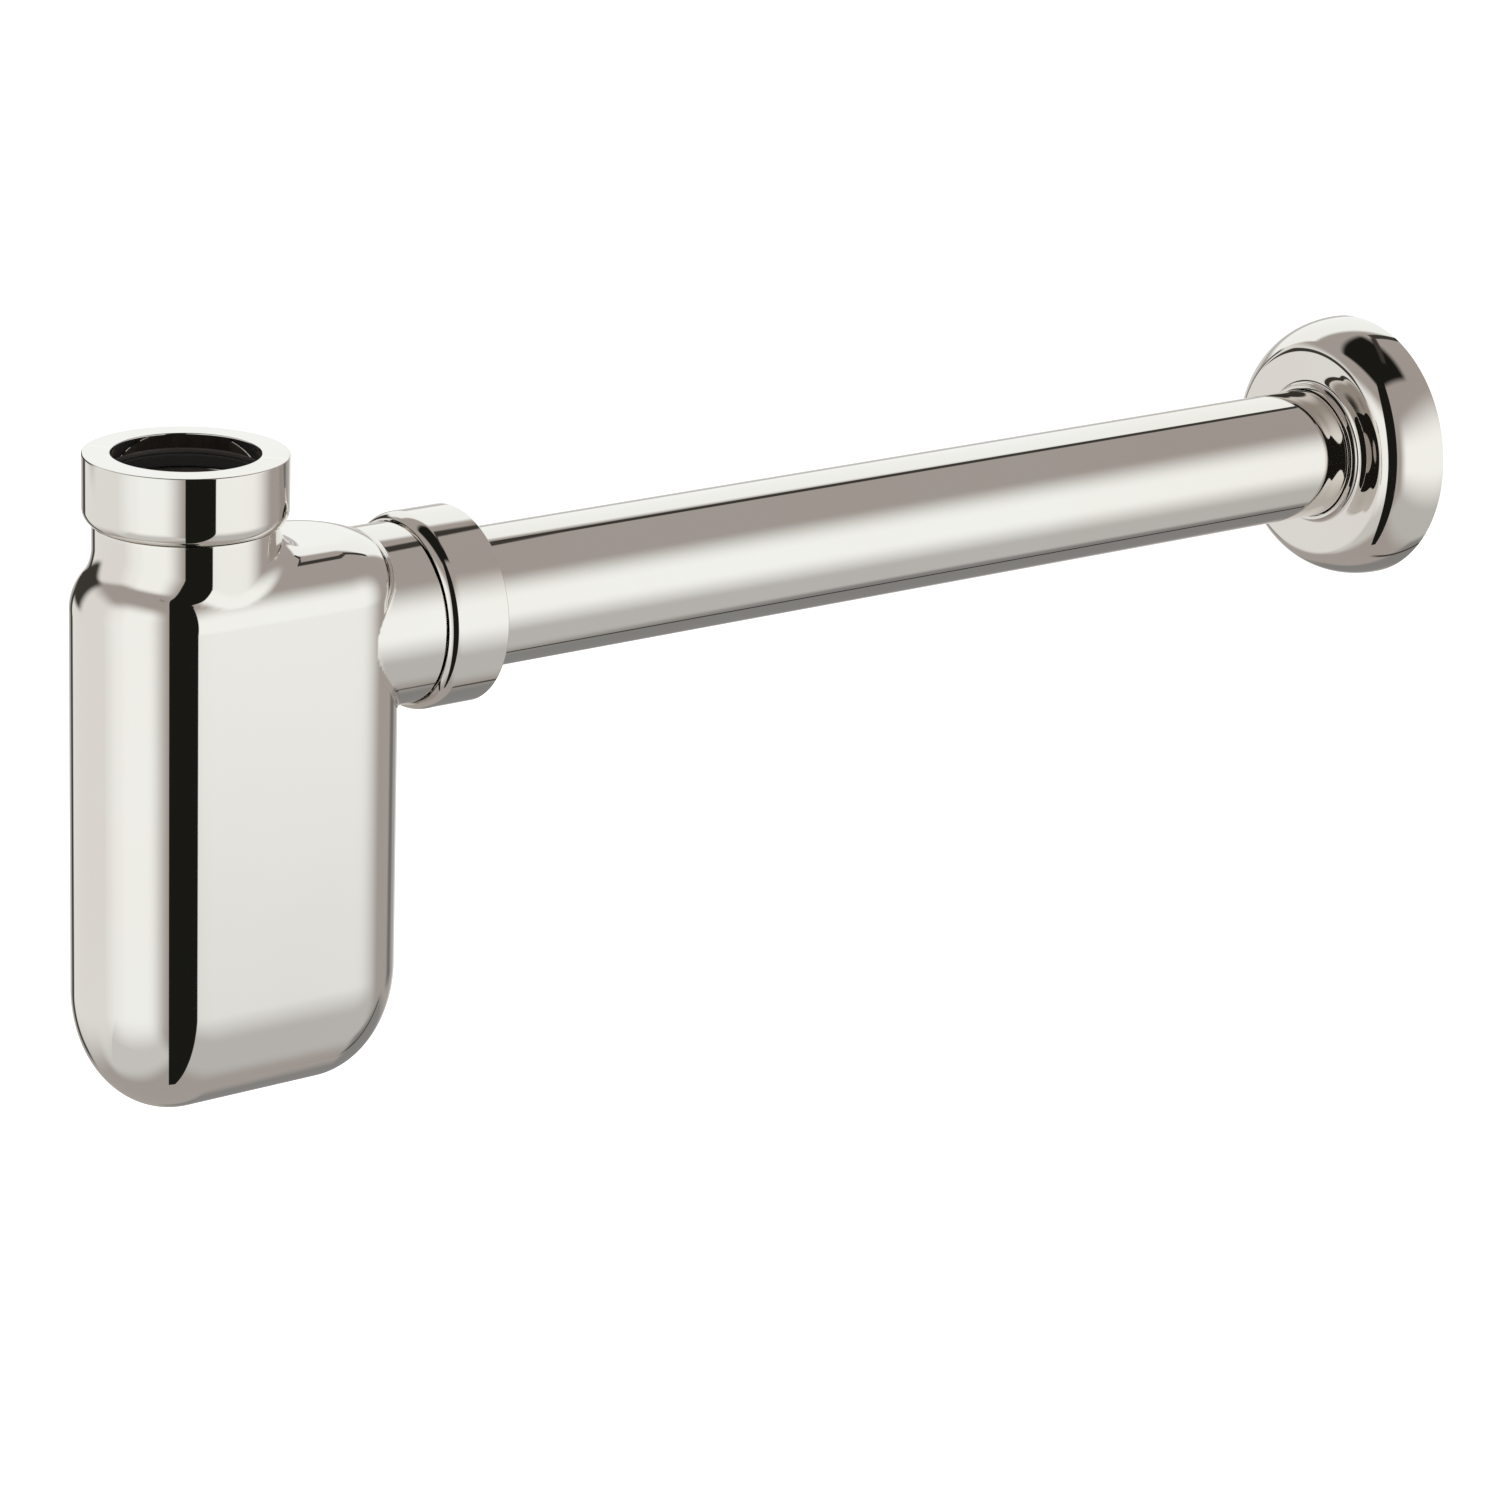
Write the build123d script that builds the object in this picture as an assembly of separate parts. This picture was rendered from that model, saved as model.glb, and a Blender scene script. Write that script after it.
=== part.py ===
from build123d import *
import os
from math import cos, radians, sin, sqrt

# Slim P trap for a 1-1/4 in tubular basin waste, in millimetres.
# Origin: centre of the inlet socket's mouth. +Z runs up the inlet, +X along the waste tube to the wall.

# how closely an edge must follow a neck to count as its crease, and how far a cutter runs past a face
TINY = 0.01
CUT_MARGIN = 1.0

# ---- driving dimensions ----
TUBE_RADIUS = 31.75 / 2
TUBE_WALL = 1.2
SOCKET_RADIUS = 16.1
SOCKET_DEPTH = 24.0
CASTING_WALL = 2.2

# water body: a flat-sided stadium in plan, rounded at the top and domed at the bottom
BODY_RADIUS = 21.5
BODY_END_X = -4.1
BODY_OUTLET_END_X = 29.4
BODY_TOP_Z = -14.7
BODY_BOTTOM_Z = -140.1
BODY_TOP_ROUNDING = 12.0
BODY_DOME_REACH = 21.0
BODY_DOME_HEIGHT = 26.6

# the two necks that the slip nuts close
OUTLET_AXIS_Z = -36.3
OUTLET_MOUTH_X = 62.2
NECK_RADIUS = 20.2
SPIGOT_RADIUS = 20.4
NECK_BLEND = 6.0
SPIGOT_BLEND = 1.0
THREAD_RADIUS = 19.6
THREAD_LENGTH = 7.9
THREAD_ROOT_LENGTH = 15.8

# slip nut, measured from the mouth that it closes
NUT_RADIUS = 22.3
NUT_TOP = 7.5
NUT_LENGTH = 15.0
NUT_ROOF = 3.2
NUT_HOLE_RADIUS = 16.15
NUT_BORE_RADIUS = 19.9
NUT_RIM_ROUNDING = 4.0
NUT_RIM_ANGLE = 49.5
NUT_EDGE = 0.3

# seal stack under each nut
WASHER_GAP = 0.02
WASHER_TOP = 2.8
WASHER_RADIUS = 19.3
RING_BOTTOM = 3.0
RING_TOP = 4.1
RING_RADIUS = 19.5
RING_HOLE_RADIUS = 16.25
INLET_WASHER_HOLE_RADIUS = 16.12
OUTLET_WASHER_HOLE_RADIUS = 15.95

# dip tube that carries the water down below the outlet and keeps the seal
DIP_RADIUS = 13.6
DIP_WALL = 1.0
DIP_BOTTOM_Z = -116.0
DIP_COLLAR_RADIUS = 15.3
DIP_COLLAR_TOP_Z = -24.3
DIP_COLLAR_THICKNESS = 1.2
DIP_SEAT_RADIUS = 15.5
DIP_SEAT_Z = -27.4
DIP_PASSAGE_RADIUS = 13.9
INLET_BOSS_RADIUS = 18.0
INLET_BOSS_BOTTOM_Z = -29.6
DIP_O_RING_SECTION = 0.8
DIP_O_RING_RADIUS = 14.5

# outlet socket
STOP_X = 36.5
STOP_THICKNESS = 2.5
STOP_RADIUS = 14.5

# waste tube
TUBE_START_X = 44.0
TUBE_END_X = 352.0
TUBE_CHAMFER = 0.5
MARK_X = 342.6
MARK_WIDTH = 0.8
MARK_DEPTH = 0.3

# wall flange, turned about the tube
FLANGE_FACE_X = 344.3
FLANGE_RADIUS = 32.6
FLANGE_RIM_REACH = 9.1
FLANGE_RIM_DEPTH = 15.2
FLANGE_WALL = 2.0
FLANGE_NECK_RADIUS = 16.95
FLANGE_NECK_X = 328.0
FLANGE_HOLE_RADIUS = 16.1
FLANGE_DISH_RADIUS = 17.8
FLANGE_DISH_X = 334.6
FLANGE_DISH_HOLLOW = 0.4
FLANGE_HUB_RADIUS = 19.6
FLANGE_HUB_END_X = 341.8
GROOVE_X = 338.0
GROOVE_WIDTH = 2.2
GROOVE_RADIUS = 18.0
FLANGE_O_RING_SECTION = 0.95
FLANGE_O_RING_RADIUS = 16.98


def turned(*edges):
    """Solid of revolution about +Z from outline edges given as (radius, height)."""
    return revolve(make_face(Plane.XZ * (Curve() + list(edges))), Axis.Z)


def ring(inner, outer, low, high):
    """Plain ring about +Z."""
    return Pos(0, 0, low) * extrude(Circle(outer) - Circle(inner), high - low)


def rod(radius, low, high):
    """Plain cylinder about +Z."""
    return Pos(0, 0, low) * extrude(Circle(radius), high - low)


def o_ring(radius, section, height):
    """Round-section seal about +Z."""
    return Pos(0, 0, height) * Torus(radius, section)


def at_outlet(shape):
    """Moves a shape made about +Z at the origin to the outlet mouth, facing +X."""
    return Pos(OUTLET_MOUTH_X, 0, OUTLET_AXIS_Z) * Rot(0, 90, 0) * shape


def on_tube(shape):
    """Moves a shape whose heights are X positions onto the waste tube's axis."""
    return Pos(0, 0, OUTLET_AXIS_Z) * Rot(0, 90, 0) * shape


def stadium_vessel(inset):
    """Water body's outer shape at inset 0, and its cavity at an inset of the wall's thickness."""
    radius = BODY_RADIUS - inset
    low = BODY_BOTTOM_Z + inset
    high = BODY_TOP_Z - inset
    top_rounding = BODY_TOP_ROUNDING - inset
    reach = BODY_DOME_REACH - inset
    rise = BODY_DOME_HEIGHT - inset
    flat = radius - reach
    dome = EllipticalCenterArc((flat, low + rise), reach, rise, 270, arc_size=90)
    side = Line((radius, low + rise), (radius, high - top_rounding))
    crown = CenterArc((radius - top_rounding, high - top_rounding), top_rounding, 0, 90)
    closing = Polyline((radius - top_rounding, high), (0, high), (0, low), (flat, low))
    half = make_face(Plane.XZ * (Curve() + [closing, dome, side, crown]))
    left_end = revolve(half, Axis.Z)
    right_end = Pos(BODY_OUTLET_END_X, 0, 0) * left_end
    left_end = Pos(BODY_END_X, 0, 0) * left_end
    section = half + mirror(half, Plane.YZ)
    across = Pos(BODY_END_X, 0, 0) * Rot(0, 0, 90) * section
    middle = extrude(across, BODY_OUTLET_END_X - BODY_END_X, dir=(1, 0, 0))
    return left_end + middle + right_end


def trap_body():
    """Cast and machined shell: hollow vessel, inlet neck with its socket, and outlet spigot."""
    neck = rod(NECK_RADIUS, BODY_TOP_Z - BODY_TOP_ROUNDING, -THREAD_LENGTH)
    spigot_start = BODY_OUTLET_END_X - OUTLET_MOUTH_X
    spigot = at_outlet(rod(SPIGOT_RADIUS, spigot_start, -THREAD_LENGTH))
    shell = stadium_vessel(0) + neck
    shell = soften(shell, neck, NECK_BLEND)
    shell = shell + spigot
    shell = soften(shell, spigot, SPIGOT_BLEND)
    shell += rod(THREAD_RADIUS, BODY_TOP_Z, 0)
    shell += at_outlet(rod(THREAD_RADIUS, -THREAD_ROOT_LENGTH, 0))
    cavity = stadium_vessel(CASTING_WALL)
    inlet_boss = rod(INLET_BOSS_RADIUS, INLET_BOSS_BOTTOM_Z, 0)
    stop_start = STOP_X - STOP_THICKNESS - OUTLET_MOUTH_X
    outlet_boss = at_outlet(rod(SPIGOT_RADIUS, stop_start, 0))
    cavity = cavity - inlet_boss - outlet_boss
    shell -= cavity
    shell -= rod(SOCKET_RADIUS, -SOCKET_DEPTH, CUT_MARGIN)
    shell -= rod(DIP_SEAT_RADIUS, DIP_SEAT_Z, -SOCKET_DEPTH)
    shell -= rod(DIP_PASSAGE_RADIUS, INLET_BOSS_BOTTOM_Z - CUT_MARGIN, DIP_SEAT_Z)
    shell -= at_outlet(rod(SOCKET_RADIUS, STOP_X - OUTLET_MOUTH_X, CUT_MARGIN))
    shell -= at_outlet(rod(STOP_RADIUS, stop_start - CUT_MARGIN, STOP_X - OUTLET_MOUTH_X))
    return shell


def soften(shell, neck, radius):
    """Rounds the crease where a neck leaves the vessel."""
    crease = [edge for edge in shell.edges() if on_crease(edge, neck)]
    return fillet(crease, radius)


def on_crease(edge, neck):
    """True for an edge that runs along the neck's round side, away from its flat ends."""
    box = neck.bounding_box()
    upright = abs(box.size.X - box.size.Y) < TINY
    along = 2 if upright else 0
    radius = box.size.Y / 2
    centre = tuple(box.center())
    low = tuple(box.min)[along] + TINY
    high = tuple(box.max)[along] - TINY
    for place in (0.1, 0.5, 0.9):
        point = tuple(edge.position_at(place))
        across = [point[k] - centre[k] for k in range(3) if k != along]
        off = sqrt(across[0] ** 2 + across[1] ** 2)
        if abs(off - radius) > TINY or not low < point[along] < high:
            return False
    return True


def slip_nut():
    """Round slip nut about +Z: flat roof with a hole, straight bore, and a rounded lower rim."""
    bottom = NUT_TOP - NUT_LENGTH
    turn = radians(NUT_RIM_ANGLE)
    rim_z = bottom + NUT_RIM_ROUNDING * sin(turn)
    rim_centre = NUT_RADIUS - NUT_RIM_ROUNDING
    rim_radius = rim_centre + NUT_RIM_ROUNDING * cos(turn)
    rim = CenterArc((rim_centre, rim_z), NUT_RIM_ROUNDING, -NUT_RIM_ANGLE, NUT_RIM_ANGLE)
    roof = NUT_TOP - NUT_ROOF
    rest = Polyline(
        (NUT_RADIUS, rim_z),
        (NUT_RADIUS, NUT_TOP - NUT_EDGE),
        (NUT_RADIUS - NUT_EDGE, NUT_TOP),
        (NUT_HOLE_RADIUS + NUT_EDGE, NUT_TOP),
        (NUT_HOLE_RADIUS, NUT_TOP - NUT_EDGE),
        (NUT_HOLE_RADIUS, roof),
        (NUT_BORE_RADIUS, roof),
        (NUT_BORE_RADIUS, bottom),
        (rim_radius, bottom),
    )
    return turned(rim, rest)


def slip_washer(hole_radius):
    """Flat-cut rubber washer on a neck's mouth."""
    return ring(hole_radius, WASHER_RADIUS, WASHER_GAP, WASHER_TOP)


def friction_ring():
    """Slippery plastic ring between the washer and the nut's roof."""
    return ring(RING_HOLE_RADIUS, RING_RADIUS, RING_BOTTOM, RING_TOP)


def dip_tube():
    """Inner down tube, hung by its collar on the ledge under the inlet socket."""
    collar_bottom = DIP_COLLAR_TOP_Z - DIP_COLLAR_THICKNESS
    bore = DIP_RADIUS - DIP_WALL
    collar = ring(bore, DIP_COLLAR_RADIUS, collar_bottom, DIP_COLLAR_TOP_Z)
    return ring(bore, DIP_RADIUS, DIP_BOTTOM_Z, collar_bottom) + collar


def dip_tube_o_ring():
    """Seal between the dip tube's collar and its ledge."""
    return o_ring(DIP_O_RING_RADIUS, DIP_O_RING_SECTION, DIP_SEAT_Z + DIP_O_RING_SECTION + WASHER_GAP)


def wall_tube():
    """Waste tube from the outlet socket to the wall, with a scribed depth mark behind the flange."""
    bore = TUBE_RADIUS - TUBE_WALL
    outline = Polyline(
        (bore, TUBE_START_X),
        (TUBE_RADIUS - TUBE_CHAMFER, TUBE_START_X),
        (TUBE_RADIUS, TUBE_START_X + TUBE_CHAMFER),
        (TUBE_RADIUS, TUBE_END_X - TUBE_CHAMFER),
        (TUBE_RADIUS - TUBE_CHAMFER, TUBE_END_X),
        (bore, TUBE_END_X),
        close=True,
    )
    mark = ring(TUBE_RADIUS - MARK_DEPTH, TUBE_RADIUS + CUT_MARGIN, MARK_X, MARK_X + MARK_WIDTH)
    return on_tube(turned(outline) - mark)


def wall_flange():
    """Domed cover plate: rolled rim, dished front, short neck, open back and a grooved hub."""
    crest_radius = FLANGE_RADIUS - FLANGE_RIM_REACH
    outer_rim = EllipticalCenterArc(
        (crest_radius, FLANGE_FACE_X), FLANGE_RIM_REACH, FLANGE_RIM_DEPTH, 270, arc_size=90
    )
    crest_x = FLANGE_FACE_X - FLANGE_RIM_DEPTH
    dish_mid_radius = (crest_radius + FLANGE_DISH_RADIUS) / 2 - FLANGE_DISH_HOLLOW
    dish_mid_x = (crest_x + FLANGE_DISH_X) / 2 + FLANGE_DISH_HOLLOW
    dish = Spline(
        (crest_radius, crest_x),
        (dish_mid_radius, dish_mid_x),
        (FLANGE_DISH_RADIUS, FLANGE_DISH_X),
        tangents=[(-1, 0), (-1, 0)],
    )
    neck_top = FLANGE_DISH_X - FLANGE_DISH_RADIUS + FLANGE_NECK_RADIUS
    blend = RadiusArc(
        (FLANGE_DISH_RADIUS, FLANGE_DISH_X),
        (FLANGE_NECK_RADIUS, neck_top),
        FLANGE_DISH_RADIUS - FLANGE_NECK_RADIUS,
    )
    inner_reach = FLANGE_RIM_REACH - FLANGE_WALL
    inner_depth = FLANGE_RIM_DEPTH - FLANGE_WALL
    inner_rim = EllipticalCenterArc((crest_radius, FLANGE_FACE_X), inner_reach, inner_depth, 270, arc_size=90)
    inner_crest_x = FLANGE_FACE_X - inner_depth
    hub_start = FLANGE_DISH_X + FLANGE_WALL
    front = Polyline(
        (FLANGE_NECK_RADIUS, neck_top),
        (FLANGE_NECK_RADIUS, FLANGE_NECK_X),
        (FLANGE_HOLE_RADIUS, FLANGE_NECK_X),
        (FLANGE_HOLE_RADIUS, GROOVE_X - GROOVE_WIDTH / 2),
        (GROOVE_RADIUS, GROOVE_X - GROOVE_WIDTH / 2),
        (GROOVE_RADIUS, GROOVE_X + GROOVE_WIDTH / 2),
        (FLANGE_HOLE_RADIUS, GROOVE_X + GROOVE_WIDTH / 2),
        (FLANGE_HOLE_RADIUS, FLANGE_HUB_END_X),
        (FLANGE_HUB_RADIUS, FLANGE_HUB_END_X),
        (FLANGE_HUB_RADIUS, hub_start),
        (crest_radius, inner_crest_x),
    )
    foot = Line((crest_radius + inner_reach, FLANGE_FACE_X), (FLANGE_RADIUS, FLANGE_FACE_X))
    return on_tube(turned(outer_rim, dish, blend, front, inner_rim, foot))


def flange_o_ring():
    """Seal that grips the tube inside the flange's hub."""
    return on_tube(o_ring(FLANGE_O_RING_RADIUS, FLANGE_O_RING_SECTION, GROOVE_X))


PIECES = {
    "trap_body": trap_body(),
    "dip_tube": dip_tube(),
    "dip_tube_o_ring": dip_tube_o_ring(),
    "inlet_nut": slip_nut(),
    "inlet_friction_ring": friction_ring(),
    "inlet_washer": slip_washer(INLET_WASHER_HOLE_RADIUS),
    "outlet_nut": at_outlet(slip_nut()),
    "outlet_friction_ring": at_outlet(friction_ring()),
    "outlet_washer": at_outlet(slip_washer(OUTLET_WASHER_HOLE_RADIUS)),
    "wall_tube": wall_tube(),
    "wall_flange": wall_flange(),
    "flange_o_ring": flange_o_ring(),
}

os.makedirs("parts", exist_ok=True)
for node, shape in PIECES.items():
    export_step(shape, f"parts/{node}.step")
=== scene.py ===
"""Polished nickel P trap: cast body, slip nuts, seals, waste tube and wall flange."""

import math

import bmesh
import bpy
import numpy as np
from bpy.props import FloatProperty, FloatVectorProperty, PointerProperty
from mathutils import Matrix, Vector


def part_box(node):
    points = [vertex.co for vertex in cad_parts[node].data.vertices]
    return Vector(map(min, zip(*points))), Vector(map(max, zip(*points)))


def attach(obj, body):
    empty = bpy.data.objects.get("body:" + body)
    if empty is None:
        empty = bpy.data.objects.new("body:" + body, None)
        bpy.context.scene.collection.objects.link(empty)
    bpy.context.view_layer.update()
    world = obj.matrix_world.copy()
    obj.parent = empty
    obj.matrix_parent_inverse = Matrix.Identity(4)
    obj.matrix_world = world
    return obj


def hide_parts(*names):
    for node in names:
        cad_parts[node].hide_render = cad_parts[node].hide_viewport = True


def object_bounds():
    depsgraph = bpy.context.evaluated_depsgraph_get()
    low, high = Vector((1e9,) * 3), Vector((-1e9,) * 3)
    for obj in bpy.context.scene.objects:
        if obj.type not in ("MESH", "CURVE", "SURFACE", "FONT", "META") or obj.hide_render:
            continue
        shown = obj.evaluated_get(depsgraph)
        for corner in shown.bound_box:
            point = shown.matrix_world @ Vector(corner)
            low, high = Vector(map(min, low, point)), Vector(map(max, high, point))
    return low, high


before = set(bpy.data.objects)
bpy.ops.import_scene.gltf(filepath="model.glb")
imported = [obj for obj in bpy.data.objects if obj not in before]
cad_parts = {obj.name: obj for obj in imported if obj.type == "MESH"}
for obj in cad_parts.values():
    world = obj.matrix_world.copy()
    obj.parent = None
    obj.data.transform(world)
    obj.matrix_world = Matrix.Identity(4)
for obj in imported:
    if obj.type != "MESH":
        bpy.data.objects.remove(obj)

bl_info = {
    "name": "P Trap",
    "version": (1, 0, 0),
    "blender": (4, 5, 0),
    "location": "3D View > Sidebar > P Trap",
    "description": "Builds the visible pieces of a polished P trap round its CAD frame",
    "category": "Add Mesh",
}

MM = 0.001


def as_lists(corners):
    """A box's two corners as plain lists."""
    return [[float(x) for x in corner] for corner in corners]


CAD_BOX = as_lists(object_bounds())
BODY_LOW, BODY_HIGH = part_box("trap_body")
TUBE_LOW, TUBE_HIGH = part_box("wall_tube")
FLANGE_LOW, FLANGE_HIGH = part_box("wall_flange")
NUT_LOW, NUT_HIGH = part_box("inlet_nut")
TUBE_AXIS_Z = (TUBE_LOW.z + TUBE_HIGH.z) / 2
TUBE_RADIUS = (TUBE_HIGH.z - TUBE_LOW.z) / 2

ALONG_X = Matrix.Rotation(math.radians(90), 4, "Y")
AT_INLET = Matrix.Identity(4)
AT_OUTLET = Matrix.Translation((BODY_HIGH.x, 0, TUBE_AXIS_Z)) @ ALONG_X
ON_TUBE = Matrix.Translation((0, 0, TUBE_AXIS_Z)) @ ALONG_X


# ---------------------------------------------------------------- sizes and colours


def length(name, text, millimetres):
    """A length property, given in millimetres and held in metres."""
    kind = {"unit": "LENGTH", "subtype": "DISTANCE", "precision": 5}
    return FloatProperty(name=name, description=text, default=millimetres * MM, **kind)


def tint(name, text, value):
    """A colour property."""
    kind = {"subtype": "COLOR", "size": 3, "min": 0, "max": 1}
    return FloatVectorProperty(name=name, description=text, default=value, **kind)


def angle(name, text, degrees):
    """An angle property."""
    kind = {"unit": "ROTATION", "subtype": "ANGLE"}
    return FloatProperty(name=name, description=text, default=math.radians(degrees), **kind)


class CastSizes(bpy.types.PropertyGroup):
    """Sizes of the cast body. Depths are measured down from a mouth."""

    between_ends: length("Between ends", "Between the centres of the two round ends", 33.5)
    shoulder_drop: length("Shoulder drop", "From the inlet mouth down to the flat top", 14.7)
    crown: length("Crown rounding", "Rounding between the sides and the flat top", 12)
    dome_rise: length("Dome rise", "Height of the domed bottom", 26.6)
    dome_flat: length("Dome flat", "Flat left at the middle of the domed bottom", 0.5)
    neck: length("Neck radius", "Outer radius of the inlet neck", 20.2)
    neck_reach: length("Neck reach", "How far down the neck runs into the body", 60)
    spigot: length("Spigot radius", "Outer radius of the outlet spigot", 20.4)
    neck_blend: length("Neck blend", "Fillet between the neck and the body", 6)
    spigot_blend: length("Spigot blend", "Fillet between the spigot and the body", 1.2)
    land: length("Thread land", "Length of each threaded end", 7.9)
    lip: length("Lip", "Depth of the shoulder's edge below the land", 0.2)
    wall: length("Wall", "Thickness of the casting", 2.2)
    socket: length("Socket radius", "Radius of the two sockets", 16.1)
    socket_depth: length("Socket depth", "Depth of the inlet socket", 24)
    ledge: length("Ledge radius", "Bore round the dip tube's collar", 15.5)
    ledge_depth: length("Ledge depth", "Depth of the ledge under the collar", 27.4)
    passage: length("Passage radius", "Bore round the dip tube", 13.9)
    passage_depth: length("Passage depth", "Depth of the inlet boss", 29.6)
    stop: length("Stop radius", "Bore of the waste tube's stop", 14.5)
    stop_depth: length("Stop depth", "From the outlet mouth to the stop", 25.7)
    stop_width: length("Stop width", "Thickness of the stop", 2.5)
    plated: length("Plated depth", "How far behind a mouth the outside is plated", 12)
    cell: length("Mesh cell", "Cell of the mesh on the outside", 0.72)


class NutSizes(bpy.types.PropertyGroup):
    """Sizes of the slip nuts and their threads. Heights are measured from a mouth."""

    hole: length("Hole radius", "Radius of the hole in the roof", 16.15)
    roof: length("Roof", "Thickness of the roof", 3.2)
    relief: length("Relief radius", "Radius under the roof, above the thread", 19.6)
    relief_height: length("Relief height", "Height of the relief", 1.2)
    bore: length("Bore radius", "Radius at the bottom of the inner thread", 20.25)
    edge: length("Edge", "Rounding of the nut's edges", 0.3)
    rim: length("Rim rounding", "Radius of the rounded lower rim", 4)
    rim_turn: angle("Rim turn", "How far the lower rim turns in", 49.5)
    pitch: length("Thread pitch", "Rise of the thread in one turn", 2)
    root: length("Thread root", "Radius at the bottom of the outer thread", 19.2)
    ridge: length("Thread ridge", "Height of a thread's ridge", 0.5)
    outer_low: length("Outer thread start", "Height where the outer thread starts", -7.1)
    inner_low: length("Inner thread start", "Height where the inner thread starts", -6.1)
    outer_turns: FloatProperty(name="Outer turns", description="Turns of outer thread", default=3)
    inner_turns: FloatProperty(name="Inner turns", description="Turns of inner thread", default=2.6)


class SealSizes(bpy.types.PropertyGroup):
    """Sizes of the washers, friction rings and O-rings. Heights are measured from a mouth."""

    washer: length("Washer radius", "Outer radius of the washers", 19.3)
    washer_low: length("Washer bottom", "Height of the washers' undersides", 0.02)
    washer_high: length("Washer top", "Height of the washers' tops", 2.8)
    inlet_hole: length("Inlet washer hole", "Radius of the inlet washer's hole", 16.12)
    outlet_hole: length("Outlet washer hole", "Radius of the outlet washer's hole", 15.95)
    ring: length("Ring radius", "Outer radius of the friction rings", 19.5)
    ring_hole: length("Ring hole", "Radius of the friction rings' holes", 16.25)
    ring_low: length("Ring bottom", "Height of the friction rings' undersides", 3)
    ring_high: length("Ring top", "Height of the friction rings' tops", 4.1)
    dip: length("Dip tube O-ring", "Radius of the dip tube's O-ring", 14.5)
    dip_section: length("Dip tube O-ring section", "Its section's radius", 0.8)
    dip_height: length("Dip tube O-ring height", "Height of its middle", -26.58)
    flange: length("Flange O-ring", "Radius of the flange's O-ring", 16.98)
    flange_section: length("Flange O-ring section", "Its section's radius", 0.95)
    flange_place: length("Flange O-ring place", "Its place along the waste tube", 338)


class PipeSizes(bpy.types.PropertyGroup):
    """Sizes of the waste tube and the dip tube. Places along the tube are in the frame's X."""

    wall: length("Wall", "Thickness of the waste tube", 1.2)
    chamfer: length("End rounding", "Rounding of the waste tube's ends", 0.5)
    mark: length("Depth mark", "Depth of the scribed line behind the flange", 0.3)
    mark_start: length("Mark start", "Where the scribed line starts", 342.6)
    mark_end: length("Mark end", "Where the scribed line ends", 343.4)
    dip_wall: length("Dip tube wall", "Thickness of the dip tube", 1)
    dip_radius: length("Dip tube radius", "Outer radius of the dip tube", 13.6)
    collar: length("Collar", "Thickness of the dip tube's collar", 1.2)


class FlangeSizes(bpy.types.PropertyGroup):
    """Sizes of the wall flange. Places along the tube are in the frame's X."""

    reach: length("Rim reach", "From the crest out to the rim", 9.1)
    depth: length("Rim depth", "From the wall face out to the crest", 15.2)
    wall: length("Wall", "Thickness of the plate", 2)
    neck: length("Neck radius", "Outer radius of the neck round the tube", 16.95)
    hole: length("Hole radius", "Radius of the hole for the tube", 16.1)
    dish: length("Dish radius", "Where the dish meets the fillet round the neck", 18.2)
    dish_depth: length("Dish depth", "From the crest in to the dish's floor", 1)
    dish_slope: angle("Dish slope", "Slope of the dish inside the crest", 4)
    crest_turn: angle("Crest turn", "Where the domed rim gives way to the crest", 67)
    brow_in: length("Brow radius drop", "From the crest in to the edge of the dish", 0.8)
    brow_back: length("Brow depth", "From the crest back to the edge of the dish", 0.55)
    groove: length("Groove radius", "Radius of the O-ring's groove", 18)
    groove_start: length("Groove start", "Where the O-ring's groove starts", 336.9)
    groove_end: length("Groove end", "Where the O-ring's groove ends", 339.1)
    hub: length("Hub radius", "Outer radius of the hub behind the dish", 19.6)
    hub_end: length("Hub end", "Where the hub ends", 341.8)


class FinishColours(bpy.types.PropertyGroup):
    """Colours of the finishes."""

    nickel: tint("Nickel", "Polished nickel plate", (0.80, 0.778, 0.748))
    worn: tint("Worn nickel", "Nickel rubbed along the edges", (0.86, 0.83, 0.78))
    raw: tint("Raw bore", "Dull unpolished metal inside the casting", (0.110, 0.092, 0.076))
    brass: tint("Brass", "Drawn brass of the dip tube", (0.72, 0.55, 0.30))
    rubber: tint("Rubber", "Black rubber of the seals", (0.018, 0.018, 0.018))
    acetal: tint("Acetal", "Dark moulded friction rings", (0.060, 0.055, 0.050))


class StudioSizes(bpy.types.PropertyGroup):
    """Camera and studio."""

    azimuth: angle("Camera azimuth", "Heading of the view, from +X towards +Y", 52.0435)
    elevation: angle("Camera elevation", "How far the view looks down", 17.7702)
    roll: angle("Camera roll", "Turn about the view's axis", -1.9799)
    distance: length("Camera distance", "From the camera to its target", 1308.07)
    lens: FloatProperty(
        name="Lens",
        description="Focal length on a 36 mm sensor",
        default=133.76,
        subtype="DISTANCE_CAMERA",
    )
    target: FloatVectorProperty(
        name="Target",
        description="Point that the camera looks at",
        default=(0.15528, 0, -0.08542),
        unit="LENGTH",
    )
    floor_drop: length("Floor drop", "From the lowest point down to the floor", 420)
    base: tint("Room", "Warm grey of the room", (0.425, 0.392, 0.370))


GROUPS = {
    "trap_cast": CastSizes,
    "trap_nut": NutSizes,
    "trap_seal": SealSizes,
    "trap_pipe": PipeSizes,
    "trap_flange": FlangeSizes,
    "trap_colour": FinishColours,
    "trap_studio": StudioSizes,
}


# ---------------------------------------------------------------- finishes


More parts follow.
